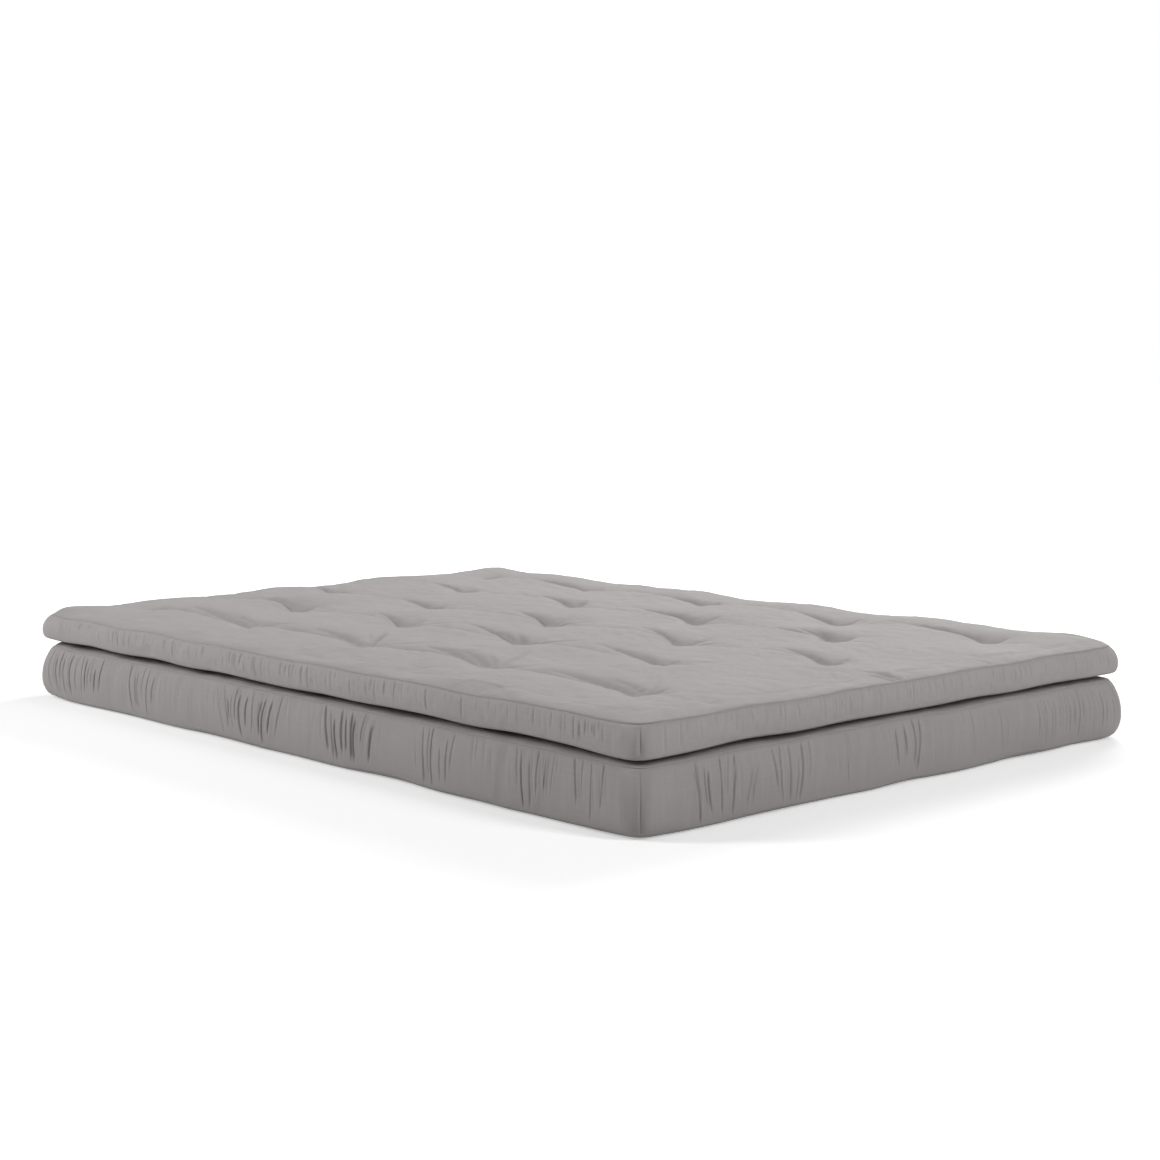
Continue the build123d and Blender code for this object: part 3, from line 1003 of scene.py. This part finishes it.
def tie_pieces(cover, top, bottom, material):
    """All the ties of a mattress as one piece, seated on the finished panels."""
    mattress = cover.mattress
    points, faces, count, seats = [], [], 0, []
    for grid in (top, bottom):
        rows, columns = [
            np.rint((cells - 1) / 2 * (1 + TUFTS[:, axis] / corner)).astype(int)
            for cells, axis, corner in zip(grid.shape, (1, 0), (CORNER_Y, CORNER_X))
        ]
        seats.append(grid[rows, columns])
    for place, high, low in zip(TUFTS, *seats):
        for part_points, part_faces in tie_parts(place, high, low):
            points.append(part_points)
            faces += [[corner + count for corner in face] for face in part_faces]
            count += len(part_points)
    piece = make_piece(f"{mattress.name}_ties", np.concatenate(points), faces, None, material)
    own(piece, mattress, "tie_tape", "tuft_ties")


def grid_heights(piece, fine):
    """Heights of a finished panel over its grid."""
    shape = (round(CELLS_Y * fine) + 1, round(CELLS_X * fine) + 1)
    return read_points(piece.data)[: shape[0] * shape[1], 2].reshape(shape).astype(float)


# Materials

THICK_THREADS = 330  # thicker threads to a metre
SLOW_CHANGE = 9  # changes of a thread along it and of the dye, to a metre
TONE_RANGE = (0.75, 1.55)  # range of the sum of these
TONE_SHARES = (0.94, 1.06)  # darkest and lightest tone, as shares of the colour
WEAVE_PERIOD = 0.0011  # distance of the threads
WAVE_NODE_SCALE = 20  # waves of a wave texture in 2 pi metres at a scale of 1
TWIST_PERIOD = 0.0012  # the same for the twist of a cord
PORES = 700  # pores of foam to a metre
FIBRE_GRAIN = (90, 420, 420)  # grains of wadding to a metre, along each axis


def add_node(tree, kind, inputs=None, **settings):
    """A new node with its settings. Each input gets a value, or a link from an output of another node."""
    node = tree.nodes.new(kind)
    for name, value in settings.items():
        setattr(node, name, value)
    for socket, value in (inputs or {}).items():
        if isinstance(value, bpy.types.NodeSocket):
            tree.links.new(value, node.inputs[socket])
        else:
            node.inputs[socket].default_value = value
    return node


def fabric(name, colour, roughness, sheen):
    """A matte material, its node tree and its shader."""
    material = bpy.data.materials.new(name)
    material.use_nodes = True
    shader = material.node_tree.nodes["Principled BSDF"]
    shader.inputs["Base Color"].default_value = (*colour, 1)
    shader.inputs["Roughness"].default_value = roughness
    shader.inputs["Specular IOR Level"].default_value = 0.2
    shader.inputs["Sheen Weight"].default_value = sheen
    shader.inputs["Sheen Roughness"].default_value = 0.5
    return material, material.node_tree, shader


def stretched_noise(tree, source, scale, detail):
    """Noise whose grains are stretched by a scale for each axis."""
    mapping = add_node(tree, "ShaderNodeMapping", {"Vector": source, "Scale": scale})
    inputs = {"Vector": mapping.outputs["Vector"], "Scale": 1, "Detail": detail}
    return add_node(tree, "ShaderNodeTexNoise", inputs).outputs["Fac"]


def sum_of(tree, first, second, share):
    """first plus a share of second."""
    inputs = {0: second, 1: share, 2: first}
    return add_node(tree, "ShaderNodeMath", inputs, operation="MULTIPLY_ADD").outputs["Value"]


def threads(tree, source, direction, period):
    """Fine waves across one direction of the cloth."""
    inputs = {"Vector": source, "Scale": 2 * math.pi / (WAVE_NODE_SCALE * period), "Distortion": 0.6}
    return add_node(tree, "ShaderNodeTexWave", inputs, bands_direction=direction).outputs["Fac"]


def colour_by(tree, shader, value, low, high, span=(0, 1)):
    """Colours a shader from low to high as a value goes over a span."""
    ramp = add_node(tree, "ShaderNodeValToRGB", {"Fac": value})
    first, last = ramp.color_ramp.elements
    first.position, last.position = span
    first.color, last.color = (*low, 1), (*high, 1)
    tree.links.new(ramp.outputs["Color"], shader.inputs["Base Color"])


def bump_from(tree, shader, height, strength, distance):
    """Fine relief on a shader."""
    bump = add_node(tree, "ShaderNodeBump", {"Strength": strength, "Distance": distance, "Height": height})
    tree.links.new(bump.outputs["Normal"], shader.inputs["Normal"])


def cotton(name, colour):
    """Plain-woven cotton: fine threads both ways, a thicker one here and there, and uneven dye."""
    material, tree, shader = fabric(name, colour, roughness=0.92, sheen=0.12)
    source = add_node(tree, "ShaderNodeUVMap", uv_map="cloth").outputs["UV"]
    warp = stretched_noise(tree, source, (THICK_THREADS, SLOW_CHANGE, 1), detail=2)
    weft = stretched_noise(tree, source, (SLOW_CHANGE, THICK_THREADS, 1), detail=2)
    dye = stretched_noise(tree, source, (SLOW_CHANGE, SLOW_CHANGE, 1), detail=4)
    tone = sum_of(tree, sum_of(tree, warp, weft, share=0.6), dye, share=0.7)
    inputs = {"Value": tone, "From Min": TONE_RANGE[0], "From Max": TONE_RANGE[1]}
    spread = add_node(tree, "ShaderNodeMapRange", inputs).outputs["Result"]
    colour_by(tree, shader, spread, *[[share * part for part in colour] for share in TONE_SHARES])
    across, along = [threads(tree, source, axis, WEAVE_PERIOD) for axis in ("X", "Y")]
    relief = sum_of(tree, sum_of(tree, across, along, share=1), warp, share=1.2)
    bump_from(tree, shader, relief, strength=0.35, distance=0.0006)
    return material


def wadding_material():
    """Unbleached carded cotton: matted fibres with flecks."""
    material, tree, shader = fabric("wadding", (0.78, 0.74, 0.66), roughness=0.97, sheen=0.2)
    place = add_node(tree, "ShaderNodeTexCoord").outputs["Object"]
    fibres = stretched_noise(tree, place, FIBRE_GRAIN, detail=6)
    colour_by(tree, shader, fibres, (0.66, 0.61, 0.52), (0.84, 0.80, 0.73), span=(0.3, 0.7))
    bump_from(tree, shader, fibres, strength=0.5, distance=0.002)
    return material


def foam_material():
    """Open-cell foam: small round pores, with shade painted darker into them."""
    material, tree, shader = fabric("foam", (0.84, 0.81, 0.70), roughness=0.95, sheen=0.0)
    place = add_node(tree, "ShaderNodeTexCoord").outputs["Object"]
    pores = add_node(tree, "ShaderNodeTexVoronoi", {"Vector": place, "Scale": PORES}).outputs["Distance"]
    # Painted shade: the colour darkens towards the middle of each pore, where the bump sinks it
    colour_by(tree, shader, pores, (0.70, 0.66, 0.53), (0.86, 0.83, 0.72), span=(0.1, 0.6))
    bump_from(tree, shader, pores, strength=0.6, distance=0.001)
    return material


def tape_material():
    """Grey cotton thread and tape with a fine twist, with shade painted darker into its grooves."""
    material, tree, shader = fabric("tie_thread", (0.30, 0.285, 0.28), roughness=0.85, sheen=0.1)
    place = add_node(tree, "ShaderNodeTexCoord").outputs["Object"]
    twist = threads(tree, place, "DIAGONAL", TWIST_PERIOD)
    # Painted shade: the colour darkens in the grooves of the twist, where the bump sinks it
    colour_by(tree, shader, twist, (0.24, 0.228, 0.224), (0.34, 0.323, 0.318))
    bump_from(tree, shader, twist, strength=0.5, distance=0.0003)
    return material


# Stage


def backdrop_share(tree):
    """1 for rays that show the backdrop, straight or mirrored or through glass, and 0 for rays of light."""
    path = add_node(tree, "ShaderNodeLightPath")
    share = path.outputs["Is Camera Ray"]
    for kind in ("Is Glossy Ray", "Is Transmission Ray"):
        inputs = {0: share, 1: path.outputs[kind]}
        share = add_node(tree, "ShaderNodeMath", inputs, operation="MAXIMUM").outputs["Value"]
    return share


WHITE = (1, 1, 1, 1)
HORIZON_LIGHT = 0.10
ZENITH_LIGHT = 0.24
# Soft lamps: (place, width, height, power)
LAMPS = {
    "key": ((-1.2, 4.2, 2.3), 2.4, 2.4, 190),
    "left": ((-2.1, -4.1, 2.6), 1.1, 2.6, 140),
    "right": ((4.3, 0.2, 2.5), 1.1, 2.6, 88),
}
LAMP_TARGET = Vector((0, 0, 0.1))
FLOOR_HALF = 40
FLOOR_CORNERS = ((-1, -1), (1, -1), (1, 1), (-1, 1))
FLOOR_DROP = 0.0006  # how far the floor lies below the cloth that rests on it
FLOOR_COLOUR = 0.74
FLOOR_LIFT = 0.42  # light that the floor adds for the camera near the mattress, so that it reads as white
LIFT_GROWS = (1.3, 3.2)  # distances from the middle between which it grows to 1


def make_world():
    """Soft light that grows from the horizon up, and plain white where the camera sees past the floor."""
    world = bpy.data.worlds.new("studio")
    bpy.context.scene.world = world
    world.use_nodes = True
    tree = world.node_tree
    tree.nodes.clear()
    place = add_node(tree, "ShaderNodeTexCoord").outputs["Generated"]
    heading = add_node(tree, "ShaderNodeSeparateXYZ", {"Vector": place}).outputs["Z"]
    inputs = {"Value": heading, "To Min": HORIZON_LIGHT, "To Max": ZENITH_LIGHT}
    strength = add_node(tree, "ShaderNodeMapRange", inputs).outputs["Result"]
    light = add_node(tree, "ShaderNodeBackground", {"Color": WHITE, "Strength": strength})
    white = add_node(tree, "ShaderNodeBackground", {"Color": WHITE})
    inputs = {"Fac": backdrop_share(tree), 1: light.outputs["Background"], 2: white.outputs["Background"]}
    mix = add_node(tree, "ShaderNodeMixShader", inputs)
    add_node(tree, "ShaderNodeOutputWorld", {"Surface": mix.outputs["Shader"]})


def make_floor():
    """A wide pale floor that reads as white and keeps the shadow."""
    material = bpy.data.materials.new("floor")
    material.use_nodes = True
    tree = material.node_tree
    tree.nodes.clear()
    matte = add_node(tree, "ShaderNodeBsdfDiffuse", {"Color": (FLOOR_COLOUR, FLOOR_COLOUR, FLOOR_COLOUR, 1)})
    place = add_node(tree, "ShaderNodeNewGeometry").outputs["Position"]
    away = add_node(tree, "ShaderNodeVectorMath", {0: place}, operation="LENGTH").outputs["Value"]
    inputs = {"Value": away, "From Min": LIFT_GROWS[0], "From Max": LIFT_GROWS[1], "To Min": FLOOR_LIFT}
    lift = add_node(tree, "ShaderNodeMapRange", inputs, interpolation_type="SMOOTHSTEP").outputs["Result"]
    tint = add_node(tree, "ShaderNodeCombineColor", {part: lift for part in ("Red", "Green", "Blue")})
    inputs = {"Color": tint.outputs["Color"], "Strength": backdrop_share(tree)}
    glow = add_node(tree, "ShaderNodeEmission", inputs)
    both = add_node(tree, "ShaderNodeAddShader", {0: matte.outputs["BSDF"], 1: glow.outputs["Emission"]})
    add_node(tree, "ShaderNodeOutputMaterial", {"Surface": both.outputs["Shader"]})
    corners = [(x * FLOOR_HALF, y * FLOOR_HALF, -FLOOR_DROP) for x, y in FLOOR_CORNERS]
    floor = make_piece("floor", np.array(corners), [[0, 1, 2, 3]], None, material)


def make_lamps():
    """A large soft lamp behind and above, and tall ones in front to the left and right."""
    for name, (place, width, height, power) in LAMPS.items():
        data = bpy.data.lights.new(name, "AREA")
        data.shape = "ELLIPSE"
        data.size = width
        data.size_y = height
        data.energy = power
        lamp = bpy.data.objects.new(name, data)
        lamp.location = place
        lamp.rotation_euler = (LAMP_TARGET - Vector(place)).to_track_quat("-Z", "Y").to_euler()
        bpy.context.scene.collection.objects.link(lamp)


# Camera, fitted to the corners and seams of the photograph
CAMERA_PLACE = (3.362, -3.004, 0.789)
CAMERA_PITCH = math.radians(6.23)  # looking down
CAMERA_TURN = math.radians(47.38)  # from looking along +Y
PHOTO_SIZE = 1160  # pixels
FOCAL_LENGTH = 2086  # pixels
SENSOR = 36  # millimetres


def make_camera():
    """The camera at the photograph's viewing angle."""
    data = bpy.data.cameras.new("camera")
    data.sensor_width = SENSOR
    data.lens = SENSOR * FOCAL_LENGTH / PHOTO_SIZE
    camera = bpy.data.objects.new("camera", data)
    camera.location = CAMERA_PLACE
    camera.rotation_euler = (math.pi / 2 - CAMERA_PITCH, 0, CAMERA_TURN)
    bpy.context.scene.collection.objects.link(camera)
    bpy.context.scene.camera = camera


# Forms of the covers

SWELL_WAVES = {"base": 0.0009, "topper": 0.0025}  # height of the soft waves of the upper panels
SWELL_WAVELENGTH = 0.35
SWELL_SEED = 7
# Unevenness of the upper panels: (height, wavelength, seed)
UNEVENNESS = {"base": (0.0004, 0.07, 12), "topper": (0.0003, 0.06, 11)}
OUTWARD_POWER = 8  # how closely a wall's outward direction keeps to its sides
WALL_SEEDS = {"base": 40, "topper": 50}
WALL_WAVES = {"base": 0.0026, "topper": 0.0016}  # how far a wall waves in and out
WALL_WAVELENGTH = 0.30
WALL_LIFTS = {"base": 0.0006, "topper": 0.0012}  # how far it waves up and down
LIFT_WAVELENGTH = 0.22
FREE_HEIGHT = 0.03  # height above the floor at which the base's wall waves freely
HEM_WAVELENGTH = 0.3
HEM_ROWS = 4  # rows from the lower seam over which the waves of the lower edge fade
CORNER_PINCH = 0.0011  # how far the columns at the upright seams are drawn in, each way


def limited(sunk):
    """Sinking held below the most that the fill leaves room for."""
    return sunk / (1 + (sunk / MOST_SUNK) ** 4) ** 0.25


def tufted(mattress, plan):
    """How far the tufts alone sink an upper panel."""
    return sum(tuft_pull(plan, share * mattress.top_tuft, reach) for share, reach in TUFT_PULLS)


def swollen(mattress, plan):
    """Height of an upper panel over its plain form: soft waves, full corners, and the tufts."""
    waves = SWELL_WAVES[mattress.name] * wander(plan, SWELL_WAVELENGTH, SWELL_SEED)
    height = waves - limited(tufted(mattress, plan))
    for x, y, puff in CORNER_PUFFS if mattress is TOPPER else ():
        height += puff * np.exp(-((away_from(plan, (x, y)) / CORNER_PUFF_REACH) ** 2))
    return height


def panel_lines(mattress, flat):
    """The slight unevenness of an upper panel, and the creases of the topper's."""
    amount, wavelength, seed = UNEVENNESS[mattress.name]
    height = amount * wander(flat, wavelength, seed)
    if mattress is TOPPER:
        tufts = tufted(mattress, flat)
        height += limited(tufts) - limited(tufts + topper_creases(flat))
    return height


def loosen(cover):
    """Lets the wall of a cover swell and wave a little, as soft seams do."""
    mattress = cover.mattress
    seed = WALL_SEEDS[mattress.name]
    plan = cover.wall[..., :2].copy()
    outward = plan / np.array([HALF_LENGTH, HALF_WIDTH])
    outward = np.sign(outward) * np.abs(outward) ** OUTWARD_POWER
    waves = WALL_WAVES[mattress.name] * wander(plan, WALL_WAVELENGTH, seed)
    lift = WALL_LIFTS[mattress.name] * wander(plan, LIFT_WAVELENGTH, seed + 1)
    if mattress is BASE:
        lift *= smooth((cover.wall[..., 2] - mattress.under) / FREE_HEIGHT)
        steps = np.abs(np.arange(len(cover.rows)) - cover.low_row)[:, None]
        hem = np.clip(wander(plan, HEM_WAVELENGTH, seed + 2), 0, None)
        lift += HEM_LIFT * hem * np.exp(-((steps / HEM_ROWS) ** 2))
    cover.wall[..., :2] -= waves[..., None] * outward
    cover.wall[..., 2] += lift
    cover.wall[cover.seam_row, :, :2] -= SEAM_SINK * outward[cover.seam_row]
    for row, (inset, _) in enumerate(cover.rows[: cover.seam_row]):
        fade = smooth((inset - mattress.seam_inset) / (CORNER - mattress.seam_inset))
        cover.wall[row, :, 2] += fade * swollen(mattress, plan[row])


def round_corners(cover):
    """Draws the corners in towards the edges of the bands, and lets the topper's front corner hang."""
    shares, sides = side_shares()
    mattress = cover.mattress
    weight = np.exp(-(((SIDE_HALVES[sides] + CORNER) * (1 - np.abs(shares)) / CORNER_REACH) ** 2))
    upper_amount = weight * np.array(UPPER_DRAW)[(sides + (shares > 0)) % 4]
    middle = (mattress.upper_seam + mattress.under) / 2
    height = cover.wall[..., 2]
    above = np.clip((height - mattress.under) / (mattress.upper_seam - mattress.under), 0, 1) ** 2
    low_share = np.clip((middle - height) / (middle - mattress.under), 0, 1)
    fade = np.clip((cover.rows[:, 0] - mattress.seam_inset) / (CORNER - mattress.seam_inset), 0, 1)
    under_fade = np.where(np.arange(len(fade)) < cover.low_row, 1, 1 - fade)[:, None]
    above[: cover.seam_row] *= 1 - fade[: cover.seam_row, None]
    below = low_share**3 * under_fade
    pull = above * upper_amount + below * weight * LOWER_DRAW[mattress.name]
    cover.wall[..., :2] -= pull[..., None] * np.sign(cover.wall[..., :2])
    if mattress is TOPPER:
        near = np.exp(-((away_from(cover.wall, FRONT_CORNER) / DROOP_REACH) ** 2))
        cover.wall[..., 2] -= CORNER_DROOP * near * low_share * under_fade


def sink_corners(cover):
    """Draws the upright seams in the corners in a little."""
    for first in np.cumsum((0, *SIDE_CELLS[:3])):
        band = cover.wall[cover.seam_row + 1 : cover.low_row, first]
        band[:, :2] -= CORNER_PINCH * np.sign(band[:, :2])


base_cotton = cotton("base_cotton", (0.36, 0.340, 0.335))
topper_cotton = cotton("topper_cotton", (0.39, 0.369, 0.364))
wadding, foam, tape = wadding_material(), foam_material(), tape_material()


def build(mattress, material, fine):
    """One mattress: its cover shaped, the topper's also settled by cloth simulation, cut into pieces and
    filled.
    """
    cover = Cover(mattress)
    plan = panel_grid()
    plain_top = cover.top.copy()
    loosen(cover)
    cover.top[..., 2] += swollen(mattress, plan)
    cover.bottom[..., 2] += tuft_pull(plan, mattress.bottom_tuft, UNDER_PULL)
    cover.wall[0] = ring(cover.top)
    if mattress is TOPPER:
        settle(cover, plain_top, material)
    round_corners(cover)
    sink_corners(cover)
    top = grid_heights(top_piece(cover, fine, material), fine)
    bottom = grid_heights(bottom_piece(cover, material), 1 / UNDER_STRIDE)
    band_pieces(cover, material)
    fill_pieces(cover, top, cover.bottom[..., 2], wadding, foam)
    tie_pieces(cover, top, bottom, tape)


build(BASE, base_cotton, fine=1)
build(TOPPER, topper_cotton, fine=2)

make_world()
make_floor()
make_lamps()
make_camera()
bpy.context.scene.view_settings.view_transform = "Standard"
